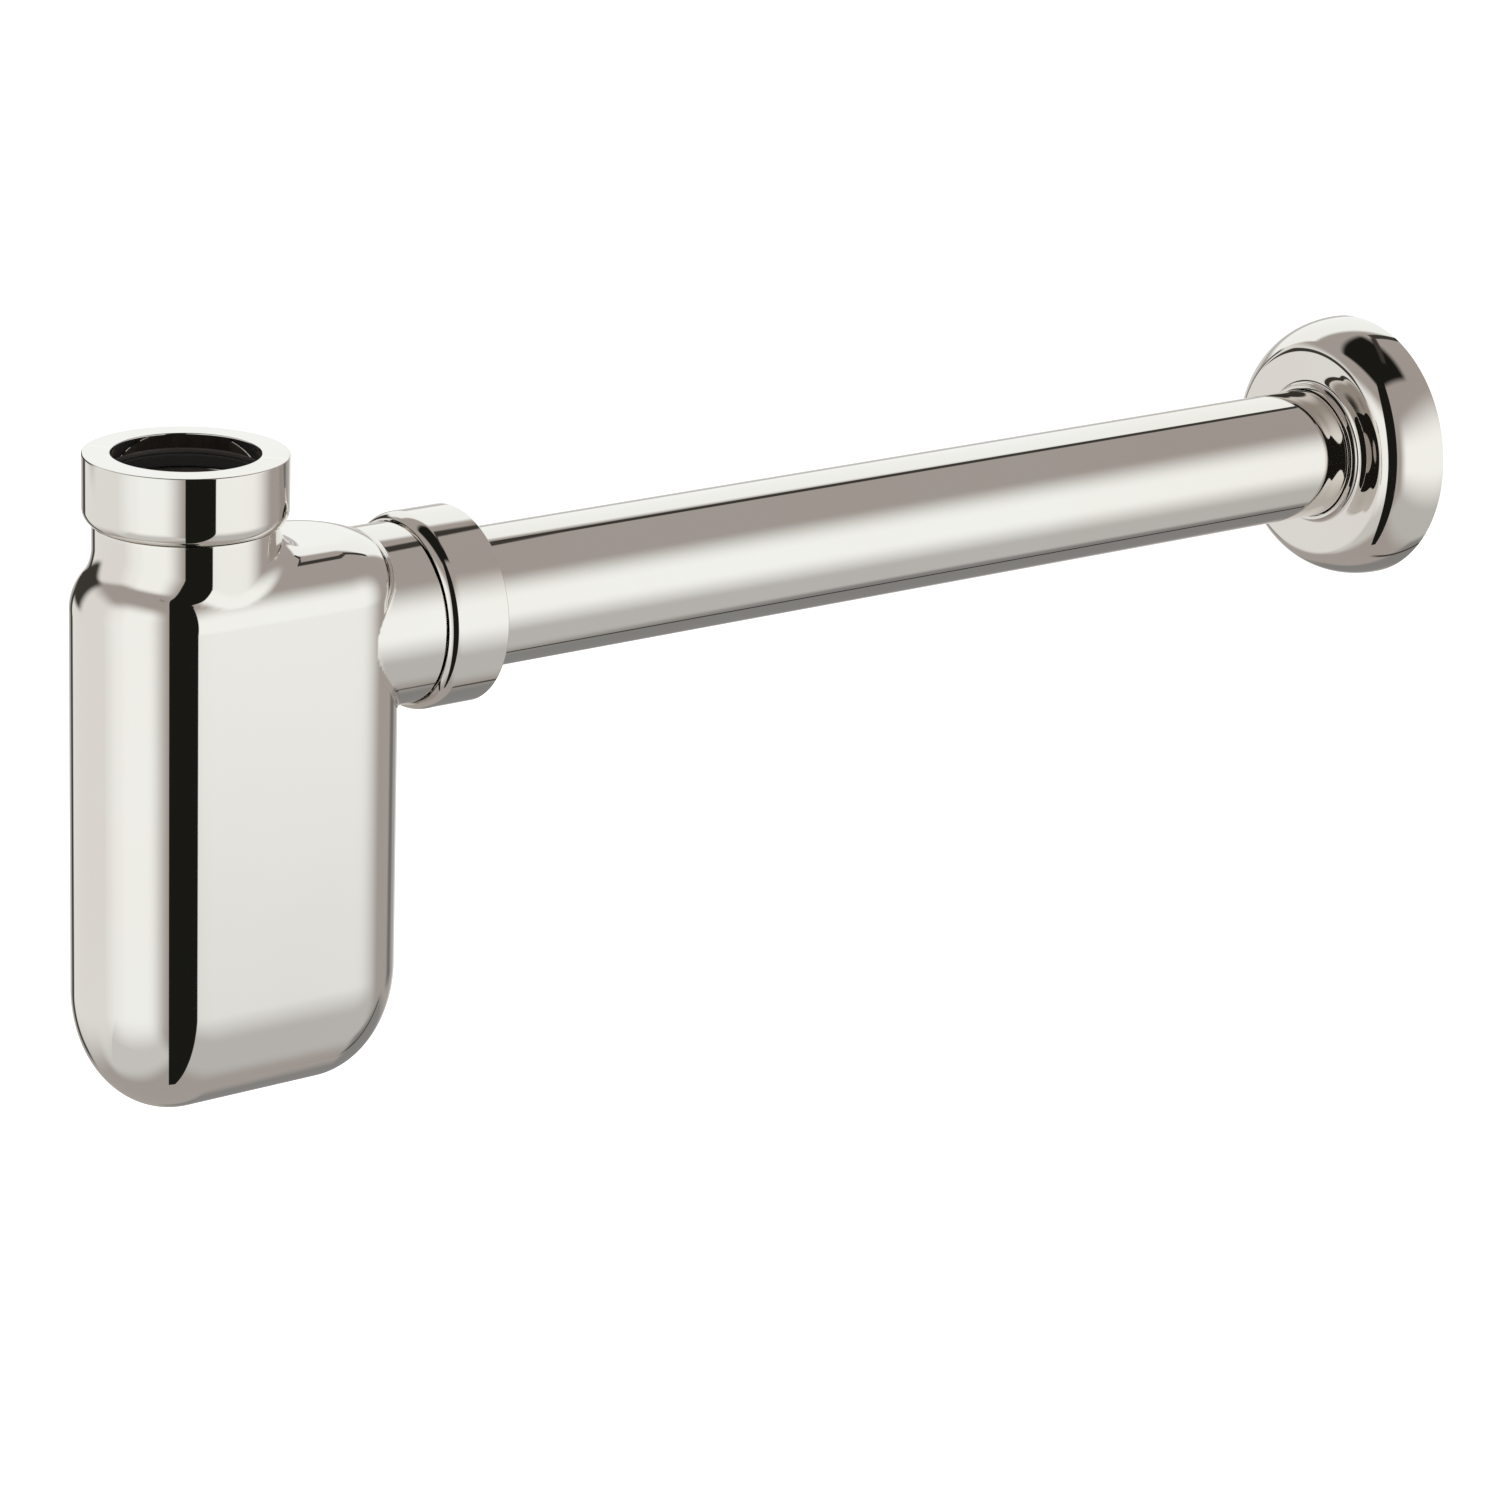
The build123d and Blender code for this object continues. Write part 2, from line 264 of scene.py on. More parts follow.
class Value:
    """A shader socket that takes part in arithmetic."""

    def __init__(self, finish, socket):
        self.finish = finish
        self.socket = socket

    def math(self, operation, *terms):
        return self.finish.node("ShaderNodeMath", {"operation": operation}, *terms)

    def __add__(self, other):
        return self.math("ADD", self, other)

    def __sub__(self, other):
        return self.math("SUBTRACT", self, other)

    def __rsub__(self, other):
        return self.math("SUBTRACT", other, self)

    def __mul__(self, other):
        return self.math("MULTIPLY", self, other)

    __radd__ = __add__
    __rmul__ = __mul__


class Finish:
    """A procedural material under construction."""

    def __init__(self, name):
        self.material = bpy.data.materials.new(name)
        self.material.use_nodes = True
        self.tree = self.material.node_tree
        self.tree.nodes.clear()

    def put(self, socket, value):
        if isinstance(value, Value):
            self.tree.links.new(value.socket, socket)
        else:
            socket.default_value = value

    def node(self, kind, settings=None, *values, sockets=None, output=0):
        """Adds a node: its settings first, then its sockets by place and by name."""
        made = self.tree.nodes.new(kind)
        for key, value in (settings or {}).items():
            setattr(made, key, value)
        for place, value in [*enumerate(values), *(sockets or {}).items()]:
            self.put(made.inputs[place], value)
        return Value(self, made.outputs[output]) if made.outputs else None

    def coords(self, stretch=(1, 1, 1)):
        """The piece's own coordinates, stretched."""
        own = self.node("ShaderNodeTexCoord", output=3)
        return self.node("ShaderNodeMapping", None, own, sockets={"Scale": stretch})

    def noise(self, scale, detail=2.0, stretch=(1, 1, 1)):
        """Noise from 0 to 1, with its scale per metre."""
        sockets = {"Vector": self.coords(stretch), "Scale": scale, "Detail": detail}
        return self.node("ShaderNodeTexNoise", None, sockets=sockets)

    def between(self, value, low, high, start=0.0, end=1.0):
        """Maps a value smoothly from one range to another."""
        smooth = {"interpolation_type": "SMOOTHSTEP"}
        return self.node("ShaderNodeMapRange", smooth, value, low, high, start, end)

    def mix(self, share, *colours):
        """Mixes two colours."""
        first, second = (c if isinstance(c, Value) else (*c, 1) for c in colours)
        sockets = {0: share, 6: first, 7: second}
        return self.node("ShaderNodeMix", {"data_type": "RGBA"}, sockets=sockets, output=2)

    def edges(self, low=0.53, high=0.60):
        """Share of wear, along outward edges."""
        return self.between(self.node("ShaderNodeNewGeometry", output=7), low, high)

    def bump(self, height, distance, strength=1.0):
        """Normal raised by a height."""
        sockets = {"Strength": strength, "Distance": distance, "Height": height}
        return self.node("ShaderNodeBump", None, sockets=sockets)

    def surface(self, sockets):
        """Ends the material in a Principled shader."""
        shader = self.node("ShaderNodeBsdfPrincipled", None, sockets=sockets)
        self.node("ShaderNodeOutputMaterial", None, shader)
        return self.material


def polished_nickel(colour):
    """Mirror nickel plate: faint cloudiness, buffing haze and rubbed edges."""
    f = Finish("polished_nickel")
    cloud = f.noise(18, 3)
    haze = f.noise(260, 4)
    buffing = f.noise(900, 2, (1, 1, 0.15))
    wear = f.edges()
    warm = tuple(c * k for c, k in zip(colour.nickel, (0.985, 0.972, 0.955)))
    plate = f.mix(f.between(cloud, 0.35, 0.7), colour.nickel, warm)
    sockets = {
        "Base Color": f.mix(wear * 0.5, plate, colour.worn),
        "Metallic": 1.0,
        "Roughness": 0.022 + f.between(haze, 0.4, 0.75) * 0.016 + wear * 0.05,
        "Normal": f.bump(buffing, 0.000001, 0.3),
    }
    return f.surface(sockets)


def raw_bore(colour):
    """Dull inside of the casting, as it left the mould and the lathe."""
    f = Finish("raw_bore")
    grain = f.noise(1400, 4)
    stain = f.noise(60, 3)
    dark = tuple(c * 0.55 for c in colour.raw)
    sockets = {
        "Base Color": f.mix(f.between(stain, 0.35, 0.65), colour.raw, dark),
        "Metallic": 0.35,
        "Roughness": 0.46 + stain * 0.2,
        "Normal": f.bump(grain, 0.00004, 0.5),
    }
    return f.surface(sockets)


def drawn_brass(colour):
    """Brass tube with lines drawn along it and brown tarnish."""
    f = Finish("drawn_brass")
    lines = f.noise(1500, 2, (1, 1, 0.02))
    tarnish = f.between(f.noise(45, 5), 0.45, 0.7)
    brown = tuple(c * k for c, k in zip(colour.brass, (0.45, 0.36, 0.25)))
    sockets = {
        "Base Color": f.mix(tarnish * 0.7, colour.brass, brown),
        "Metallic": 1.0,
        "Roughness": 0.2 + lines * 0.12 + tarnish * 0.18,
        "Normal": f.bump(lines, 0.00001, 0.4),
    }
    return f.surface(sockets)


def black_rubber(colour):
    """Moulded rubber: dusty, with a fine grain."""
    f = Finish("black_rubber")
    dust = f.noise(220, 4)
    grain = f.noise(2600, 3)
    pale = f.between(dust, 0.45, 0.8) * 0.6 + f.edges() * 0.3
    grey = tuple(c * 2.4 + 0.01 for c in colour.rubber)
    sockets = {
        "Base Color": f.mix(pale, colour.rubber, grey),
        "Roughness": 0.52 + dust * 0.24,
        "Normal": f.bump(grain, 0.00003, 0.5),
        "Specular IOR Level": 0.4,
    }
    return f.surface(sockets)


def moulded_acetal(colour):
    """Slippery moulded plastic with faint flow marks."""
    f = Finish("moulded_acetal")
    flow = f.noise(120, 4, (1, 1, 3))
    grain = f.noise(1800, 2)
    light = tuple(c * 1.6 for c in colour.acetal)
    sockets = {
        "Base Color": f.mix(f.between(flow, 0.3, 0.7), colour.acetal, light),
        "Roughness": 0.3 + flow * 0.16,
        "Normal": f.bump(grain, 0.00001, 0.4),
    }
    return f.surface(sockets)


FINISHES = {
    "polished_nickel": polished_nickel,
    "raw_bore": raw_bore,
    "drawn_brass": drawn_brass,
    "black_rubber": black_rubber,
    "moulded_acetal": moulded_acetal,
}


def finish(name):
    """A finish by name, made once."""
    return bpy.data.materials.get(name) or FINISHES[name](bpy.context.scene.trap_colour)


# ---------------------------------------------------------------- turned pieces


def arc(centre, radii, start, end, steps):
    """Points of an elliptical arc in (radius, height). Angles run from the radius axis."""
    turns = (start + (end - start) * k / steps for k in range(steps + 1))
    (r, z), (wide, tall) = centre, radii
    return [(r + wide * math.cos(t), z + tall * math.sin(t)) for t in turns]


def bezier(points, steps):
    """Points of a cubic curve, without its first."""
    a, b, c, d = (Vector(p) for p in points)
    out = []
    for k in range(1, steps + 1):
        t = k / steps
        u = 1 - t
        out.append(tuple(a * u**3 + b * 3 * t * u**2 + c * 3 * t * t * u + d * t**3))
    return out


def rounded(corners, steps=5):
    """Outline through (radius, height, rounding) corners, each rounded off by its own radius."""
    points = []
    for k, (r, z, rounding) in enumerate(corners):
        here = Vector((r, z))
        if not rounding:
            points.append(here)
            continue
        back = (Vector(corners[k - 1][:2]) - here).normalized()
        on = (Vector(corners[(k + 1) % len(corners)][:2]) - here).normalized()
        half = back.angle(on) / 2
        run = rounding / math.tan(half)
        centre = here + (back + on).normalized() * (rounding / math.sin(half))
        first, last = here + back * run - centre, here + on * run - centre
        turn = first.angle_signed(last)
        for step in range(steps + 1):
            share = turn * step / steps
            c, s = math.cos(share), math.sin(share)
            points.append(centre + Vector((first.x * c + first.y * s, first.y * c - first.x * s)))
    return [tuple(p) for p in points]


def supported(outline, inset=0.15 * MM):
    """Adds a point near each end of every long straight run, to keep flats flat in reflections."""
    out = []
    for k, here in enumerate(outline):
        start, end = Vector(here), Vector(outline[(k + 1) % len(outline)])
        run = end - start
        out.append(tuple(start))
        if run.length > 6 * inset:
            step = run.normalized() * inset
            out += [tuple(start + step), tuple(end - step)]
    return out


def lathe(name, outline, place, body, materials, inside=None, steps=256):
    """Turns a closed outline of (radius, height) points about its axis and puts it in place.

    inside(radius, height) picks the runs that take the second material.
    """
    points = np.array(supported(outline))
    ahead = np.roll(points, -1, 0)
    if (points[:, 0] * ahead[:, 1] - ahead[:, 0] * points[:, 1]).sum() < 0:
        points = points[::-1]
    count = len(points)
    turns = np.arange(steps) * 2 * math.pi / steps
    r, z = points[:, 0], points[:, 1]
    x, y = np.outer(np.cos(turns), r), np.outer(np.sin(turns), r)
    rings = np.stack([x, y, np.tile(z, (steps, 1))], -1)
    i, j = np.meshgrid(np.arange(count), np.arange(steps))
    i, j = i.ravel(), j.ravel()
    up, on = (i + 1) % count, (j + 1) % steps
    faces = np.stack([j * count + i, on * count + i, on * count + up, j * count + up], 1)
    mesh = bpy.data.meshes.new(name)
    mesh.from_pydata(rings.reshape(-1, 3).tolist(), [], faces.tolist())
    for material in materials:
        mesh.materials.append(finish(material))
    if inside:
        middle = (points + np.roll(points, -1, 0)) / 2
        picks = np.array([1 if inside(*m) else 0 for m in middle])
        mesh.polygons.foreach_set("material_index", picks[i])
    mesh.transform(place)
    mesh.shade_smooth()
    mesh.set_sharp_from_angle(angle=math.radians(32))
    return seat(name, mesh, body)


def seat(name, mesh, body):
    """Makes a finished mesh a piece that moves with a CAD body."""
    piece = bpy.data.objects.new(name, mesh)
    bpy.context.scene.collection.objects.link(piece)
    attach(piece, body)
    return piece


# ---------------------------------------------------------------- threads


def thread_tree():
    """Geometry nodes that sweep a thread's ridge along a right-handed helix."""
    tree = bpy.data.node_groups.new("thread", "GeometryNodeTree")
    tree.interface.new_socket("Geometry", in_out="OUTPUT", socket_type="NodeSocketGeometry")
    names = dict.fromkeys(("Radius", "Pitch", "Turns", "Ridge"), "Float")
    names |= {"Steps": "Int", "Finish": "Material"}
    for name, kind in names.items():
        tree.interface.new_socket(name, in_out="INPUT", socket_type="NodeSocket" + kind)
    given = tree.nodes.new("NodeGroupInput").outputs
    helix = tree.nodes.new("GeometryNodeCurveSpiral")
    rise = tree.nodes.new("ShaderNodeMath")
    rise.operation = "MULTIPLY"
    section = tree.nodes.new("GeometryNodeCurvePrimitiveCircle")
    upright = tree.nodes.new("GeometryNodeSetCurveNormal")
    upright.mode = "Z_UP"
    sweep = tree.nodes.new("GeometryNodeCurveToMesh")
    real = tree.nodes.new("GeometryNodeRealizeInstances")
    paint = tree.nodes.new("GeometryNodeSetMaterial")
    out = tree.nodes.new("NodeGroupOutput")
    helix.inputs["Reverse"].default_value = True
    section.inputs["Resolution"].default_value = 4
    sweep.inputs["Fill Caps"].default_value = True
    wires = [
        (given["Pitch"], rise.inputs[0]),
        (given["Turns"], rise.inputs[1]),
        (rise.outputs[0], helix.inputs["Height"]),
        (given["Radius"], helix.inputs["Start Radius"]),
        (given["Radius"], helix.inputs["End Radius"]),
        (given["Turns"], helix.inputs["Rotations"]),
        (given["Steps"], helix.inputs["Resolution"]),
        (given["Ridge"], section.inputs["Radius"]),
        (helix.outputs[0], upright.inputs[0]),
        (upright.outputs[0], sweep.inputs["Curve"]),
        (section.outputs[0], sweep.inputs["Profile Curve"]),
        (sweep.outputs[0], real.inputs[0]),
        (real.outputs[0], paint.inputs[0]),
        (given["Finish"], paint.inputs["Material"]),
        (paint.outputs[0], out.inputs[0]),
    ]
    for start, end in wires:
        tree.links.new(start, end)
    return tree


def thread(name, radius, low, turns, place, body):
    """One thread's ridge, from a height measured from the mouth."""
    nut = bpy.context.scene.trap_nut
    tree = bpy.data.node_groups.get("thread") or thread_tree()
    values = {
        "Radius": radius,
        "Pitch": nut.pitch,
        "Turns": turns,
        "Ridge": nut.ridge,
        "Steps": 96,
        "Finish": finish("polished_nickel"),
    }
    blank = bpy.data.objects.new("thread_maker", bpy.data.meshes.new("thread_maker"))
    bpy.context.scene.collection.objects.link(blank)
    modifier = blank.modifiers.new("thread", "NODES")
    modifier.node_group = tree
    for item in tree.interface.items_tree:
        if item.in_out == "INPUT":
            modifier[item.identifier] = values[item.name]
    bpy.context.view_layer.update()
    ready = blank.evaluated_get(bpy.context.evaluated_depsgraph_get())
    mesh = bpy.data.meshes.new_from_object(ready)
    bpy.data.objects.remove(blank)
    mesh.name = name
    mesh.transform(place @ Matrix.Translation((0, 0, low)))
    mesh.shade_flat()
    piece = seat(name, mesh, body)
    return piece


# ---------------------------------------------------------------- the cast body


def filleted(a, b, lean, radius):
    """Joins two distance fields with a rolling fillet. lean is the cosine between their slopes."""
    p, q = radius - a, radius - b
    lean = np.clip(lean, -0.97, 0.97)
    across = np.maximum(p * p + q * q - 2 * lean * p * q, 0) / (1 - lean * lean)
    rolling = (p - lean * q > 0) & (q - lean * p > 0)
    return np.where(rolling, radius - np.sqrt(across), np.minimum(a, b))


def cast_field(s):
    """Distance to the cast body's outside, below zero inside it."""
    radius = BODY_HIGH.y
    near = BODY_LOW.x + radius
    far = near + s.between_ends
    top = -s.shoulder_drop
    bottom = BODY_LOW.z
    reach = radius - s.dome_flat

    def field(p):
        x, y, z = p[..., 0], p[..., 1], p[..., 2]
        dx = x - np.clip(x, near, far)
        rho = np.maximum(np.hypot(dx, y), 1e-9)
        qx, qz = rho - (radius - s.crown), z - (top - s.crown)
        ux, uz = np.maximum(qx, 0), np.maximum(qz, 0)
        corner = np.hypot(ux, uz)
        crown = corner + np.minimum(np.maximum(qx, qz), 0) - s.crown
        wz = np.maximum(bottom + s.dome_rise - z, 0)
        wr = np.maximum(rho - s.dome_flat, 1e-9)
        k0 = np.hypot(wr / reach, wz / s.dome_rise)
        k1 = np.hypot(wr / reach**2, wz / s.dome_rise**2)
        vessel = np.where(z > (top + bottom) / 2, crown, k0 * (k0 - 1) / k1)
        sideways = np.where(corner > 1e-9, ux / np.maximum(corner, 1e-9), qx > qz)
        gx, gy = sideways * dx / rho, sideways * y / rho
        off = np.maximum(np.hypot(x, y), 1e-9)
        neck = np.where(z > -s.neck_reach, off - s.neck, 1.0)
        body = filleted(vessel, neck, (gx * x + gy * y) / off, s.neck_blend)
        drop = z - TUBE_AXIS_Z
        off = np.maximum(np.hypot(y, drop), 1e-9)
        spigot = np.where(x > far, off - s.spigot, 1.0)
        gz = np.where(corner > 1e-9, uz / np.maximum(corner, 1e-9), qz >= qx)
        return filleted(body, spigot, (gy * y + gz * drop) / off, s.spigot_blend)

    return field


def slope(field, points, step=0.02 * MM):
    """Slope of a field at each point."""
    out = np.empty_like(points)
    for k in range(3):
        ahead = np.zeros(3)
        ahead[k] = step
        out[:, k] = (field(points + ahead) - field(points - ahead)) / (2 * step)
    return out


def net(field, low, high, cell):
    """Quads round a field's zero surface: one point to a grid cell, settled on the surface."""
    axes = [np.arange(a, b + cell, cell) for a, b in zip(low, high)]
    grid = np.stack(np.meshgrid(*axes, indexing="ij"), -1)
    within = field(grid) < 0
    count = sum(
        within[a : a - 1 or None, b : b - 1 or None, c : c - 1 or None].astype(int)
        for a in (0, 1)
        for b in (0, 1)
        for c in (0, 1)
    )
    mixed = (count > 0) & (count < 8)
    number = np.full(mixed.shape, -1)
    number[mixed] = np.arange(mixed.sum())
    points = np.argwhere(mixed) * cell + np.array(low) + cell / 2
    for _ in range(6):
        g = slope(field, points)
        points -= field(points)[:, None] * g / np.maximum((g * g).sum(1), 0.2)[:, None]
    faces = []
    for k in range(3):
        here = np.moveaxis(within, k, 0)
        cells = np.moveaxis(number, k, 0)
        change = here[:-1, 1:-1, 1:-1] != here[1:, 1:-1, 1:-1]
        i, u, w = np.nonzero(change)
        ring = (cells[i, u, w], cells[i, u + 1, w], cells[i, u + 1, w + 1], cells[i, u, w + 1])
        quad = np.stack(ring, 1)
        flip = here[i, u + 1, w + 1]
        if k == 1:
            flip = ~flip
        quad[~flip] = quad[~flip][:, ::-1]
        faces.append(quad)
    return points, np.concatenate(faces)


def cast_mesh(s):
    """Outer skin and rough inner wall of the casting, cut off and joined at its two ends."""
    field = cast_field(s)
    trim = s.land + s.lip
    cuts = [((0, 0, -trim), (0, 0, 1)), ((BODY_HIGH.x - trim, 0, 0), (1, 0, 0))]
    low = np.array(BODY_LOW) - 3 * s.cell
    high = np.array((BODY_HIGH.x - s.land, BODY_HIGH.y, -s.land)) + 3 * s.cell
    skin, quads = net(field, low, high, s.cell)
    cavity, inner = net(lambda p: field(p) + s.wall, low, high, 2.2 * s.cell)
    mesh = bpy.data.meshes.new("cast_body")
    points = np.concatenate([skin, cavity])
    faces = np.concatenate([quads, inner[:, ::-1] + len(skin)])
    mesh.from_pydata(points.tolist(), [], faces.tolist())
    index = np.concatenate([np.zeros(len(quads), int), np.ones(len(inner), int)])
    mesh.polygons.foreach_set("material_index", index)
    bm = bmesh.new()
    bm.from_mesh(mesh)
    for place, normal in cuts:
        whole = bm.verts[:] + bm.edges[:] + bm.faces[:]
        plane = {"plane_co": place, "plane_no": normal, "clear_outer": True}
        bmesh.ops.bisect_plane(bm, geom=whole, dist=1e-7, **plane)
    for place, normal in cuts:
        level = Vector(place).dot(normal)
        on_cut = {v for v in bm.verts if abs(v.co.dot(normal) - level) < 1e-6}
        rims = [e for e in bm.edges if e.is_boundary and on_cut.issuperset(e.verts)]
        for face in bmesh.ops.bridge_loops(bm, edges=rims)["faces"]:
            face.material_index = 2
    bm.to_mesh(mesh)
    bm.free()
    give_exact_normals(mesh, field)
    return mesh


def give_exact_normals(mesh, field):
    """Sets each corner's normal from the field, and leaves the cut rims flat."""
    places = np.empty(len(mesh.vertices) * 3)
    mesh.vertices.foreach_get("co", places)
    outward = slope(field, places.reshape(-1, 3))
    outward /= np.maximum(np.linalg.norm(outward, axis=1), 1e-9)[:, None]
    corners = np.empty(len(mesh.loops), int)
    mesh.loops.foreach_get("vertex_index", corners)
    totals = np.empty(len(mesh.polygons), int)
    index = np.empty(len(mesh.polygons), int)
    flat = np.empty(len(mesh.polygons) * 3)
    mesh.polygons.foreach_get("loop_total", totals)
    mesh.polygons.foreach_get("material_index", index)
    mesh.polygons.foreach_get("normal", flat)
    kind = np.repeat(index, totals)[:, None]
    facing = np.repeat(flat.reshape(-1, 3), totals, 0)
    smooth = np.where(kind == 0, outward[corners], -outward[corners])
    normals = np.where(kind == 2, facing, smooth)
    mesh.shade_smooth()
    mesh.normals_split_custom_set(normals.tolist())
    mesh.polygons.foreach_set("material_index", np.where(index == 2, 0, index))


def sleeve_outline(s, depth, ledges):
    """Threaded end and socket: shoulder, thread land, mouth and bore, then the ledges below."""
    root = bpy.context.scene.trap_nut.root
    outer = s.neck - s.wall
    shoulder = -s.land - s.lip
    return rounded(
        [
            *ledges,
            (outer, shoulder, 0),
            (s.neck, shoulder, 0),
            (s.neck, -s.land, s.lip * 0.95),
            (root, -s.land, 0.3 * MM),
            (root, -0.7 * MM, 0),
            (root - 0.6 * MM, 0, 0),
            (s.socket + 0.35 * MM, 0, 0),
            (s.socket, -0.35 * MM, 0),
            (s.socket, -depth, 0),
        ]
    )


class TRAP_OT_cast_body(bpy.types.Operator):
    """Make the cast body, with its two threaded ends"""

    bl_idname = "trap.cast_body"
    bl_label = "Cast body"

    def execute(self, context):
        s = context.scene.trap_cast
        mesh = cast_mesh(s)
        mesh.materials.append(finish("polished_nickel"))
        mesh.materials.append(finish("raw_bore"))
        body = seat("cast_body", mesh, "trap")
        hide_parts("trap_body")
        outer = s.neck - s.wall
        behind_stop = -s.stop_depth - s.stop_width
        collar_ledges = [
            (s.ledge, -s.socket_depth, 0),
            (s.ledge, -s.ledge_depth, 0),
            (s.passage, -s.ledge_depth, 0),
            (s.passage, -s.passage_depth, 0.4 * MM),
            (outer, -s.passage_depth, 0.6 * MM),
        ]
        tube_stop = [
            (s.stop, -s.stop_depth, 0.3 * MM),
            (s.stop, behind_stop, 0.3 * MM),
            (outer, behind_stop, 0.6 * MM),
        ]
        self.threaded_end(s, "inlet", AT_INLET, s.socket_depth, collar_ledges)
        self.threaded_end(s, "outlet", AT_OUTLET, s.stop_depth, tube_stop)
        return {"FINISHED"}

    def threaded_end(self, s, end, place, depth, ledges):
        """Makes the socket and outer thread at one end."""
        nut = bpy.context.scene.trap_nut

        def raw(r, z):
            return r < s.socket + 0.1 * MM or z < -s.plated

        finishes = ("polished_nickel", "raw_bore")
        outline = sleeve_outline(s, depth, ledges)
        socket = lathe(end + "_socket", outline, place, "trap", finishes, raw)
        radius = nut.root + 0.02 * MM
        thread(end + "_thread", radius, nut.outer_low, nut.outer_turns, place, "trap")


class TRAP_OT_slip_nuts(bpy.types.Operator):
    """Make the two slip nuts, with the threads inside them"""

    bl_idname = "trap.slip_nuts"
    bl_label = "Slip nuts"

    def execute(self, context):
        nut = context.scene.trap_nut
        radius, top, bottom = NUT_HIGH.y, NUT_HIGH.z, NUT_LOW.z
        lift = bottom + nut.rim * math.sin(nut.rim_turn)
        rim = arc((radius - nut.rim, lift), (nut.rim, nut.rim), -nut.rim_turn, 0, 18)
        roof = top - nut.roof
        relief_end = roof - nut.relief_height
        rest = rounded(
            [
                (radius, top, nut.edge),
                (nut.hole, top, nut.edge * 0.9),
                (nut.hole, roof, 0),
                (nut.relief, roof, 0),
                (nut.relief, relief_end, 0),
                (nut.bore, relief_end - 0.8 * MM, 0),
                (nut.bore, bottom + 0.4 * MM, 0),
                (nut.bore + 0.25 * MM, bottom, 0),
                (rim[0][0], bottom, 0),
                (rim[-1][0], rim[-1][1], 0),
            ]
        )
        outline = rest[:-2] + rim
        ridge = nut.bore - 0.2 * MM
        for node, place in (("inlet_nut", AT_INLET), ("outlet_nut", AT_OUTLET)):
            piece = lathe(node + "_turned", outline, place, node, ("polished_nickel",))
            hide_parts(node)
            name = node + "_inner_thread"
            thread(name, ridge, nut.inner_low, nut.inner_turns, place, node)
        return {"FINISHED"}


def flat_ring(hole, radius, low, high, rounding):
    """Outline of a flat ring with rounded edges."""
    corners = ((hole, low), (radius, low), (radius, high), (hole, high))
    return rounded([(*corner, rounding) for corner in corners])


def seal(node, ending, outline, place, body, look, slot, steps):
    """Turns a seal and puts it in place of its CAD node."""
    piece = lathe(node + ending, outline, place, body, (look,), steps=steps)
    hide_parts(node)


class TRAP_OT_seals(bpy.types.Operator):
    """Make the washers, friction rings and O-rings"""

    bl_idname = "trap.seals"
    bl_label = "Seals"

    def execute(self, context):
        s = context.scene.trap_seal
        rubber = ("black_rubber", "black_rubber")
        acetal = ("moulded_acetal", "dark_acetal")
        ring = flat_ring(s.ring_hole, s.ring, s.ring_low, s.ring_high, 0.2 * MM)
        ends = (("inlet", AT_INLET, s.inlet_hole), ("outlet", AT_OUTLET, s.outlet_hole))
        for end, place, hole in ends:
            washer = flat_ring(hole, s.washer, s.washer_low, s.washer_high, 0.3 * MM)
            seal(end + "_washer", "_cut", washer, place, "trap", *rubber, 128)
            seal(end + "_friction_ring", "_moulded", ring, place, end + "_ring", *acetal, 128)
        o_rings = (
            ("dip_tube_o_ring", s.dip, s.dip_section, s.dip_height, AT_INLET, "trap"),
            ("flange_o_ring", s.flange, s.flange_section, s.flange_place, ON_TUBE, "flange"),
        )
        for node, radius, section, height, place, body in o_rings:
            outline = arc((radius, height), (section, section), 0, 2 * math.pi, 24)[:-1]
            seal(node, "_moulded", outline, place, body, *rubber, 144)
        return {"FINISHED"}


class TRAP_OT_pipes(bpy.types.Operator):
    """Make the waste tube and the dip tube"""

    bl_idname = "trap.pipes"
    bl_label = "Tubes"

    def execute(self, context):
        pipe = context.scene.trap_pipe
        self.waste_tube(pipe)
        self.dip_tube(pipe)
        return {"FINISHED"}

    def waste_tube(self, pipe):
        """Plated tube with rounded ends and a scribed depth mark."""
        bore = TUBE_RADIUS - pipe.wall
        start, end = TUBE_LOW.x, TUBE_HIGH.x
        floor = TUBE_RADIUS - pipe.mark
        slope, soft = 0.2 * MM, 0.05 * MM
        outline = rounded(
            [
                (bore, start, 0.2 * MM),
                (TUBE_RADIUS, start, pipe.chamfer),
                (TUBE_RADIUS, pipe.mark_start, soft),
                (floor, pipe.mark_start + slope, soft),
                (floor, pipe.mark_end - slope, soft),
                (TUBE_RADIUS, pipe.mark_end, soft),
                (TUBE_RADIUS, end, pipe.chamfer),
                (bore, end, 0.2 * MM),
            ],
            3,
        )

        def inside(r, z):
            return r < bore + 0.1 * MM

        finishes = ("polished_nickel", "drawn_brass")
        tube = lathe("wall_tube_drawn", outline, ON_TUBE, "tube", finishes, inside)
        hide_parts("wall_tube")

    def dip_tube(self, pipe):
        """Brass tube hung by its collar."""
        low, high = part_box("dip_tube")
        outer, bore, reach = pipe.dip_radius, pipe.dip_radius - pipe.dip_wall, high.y
        under_collar = high.z - pipe.collar
        outline = rounded(
            [
                (bore, low.z, 0.2 * MM),
                (outer, low.z, 0.3 * MM),
                (outer, under_collar, 0.4 * MM),
                (reach, under_collar, 0.2 * MM),
                (reach, high.z, 0.3 * MM),
                (bore, high.z, 0.6 * MM),
            ]
        )
        dip = lathe("dip_tube_drawn", outline, AT_INLET, "trap", ("drawn_brass",), steps=192)
        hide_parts("dip_tube")


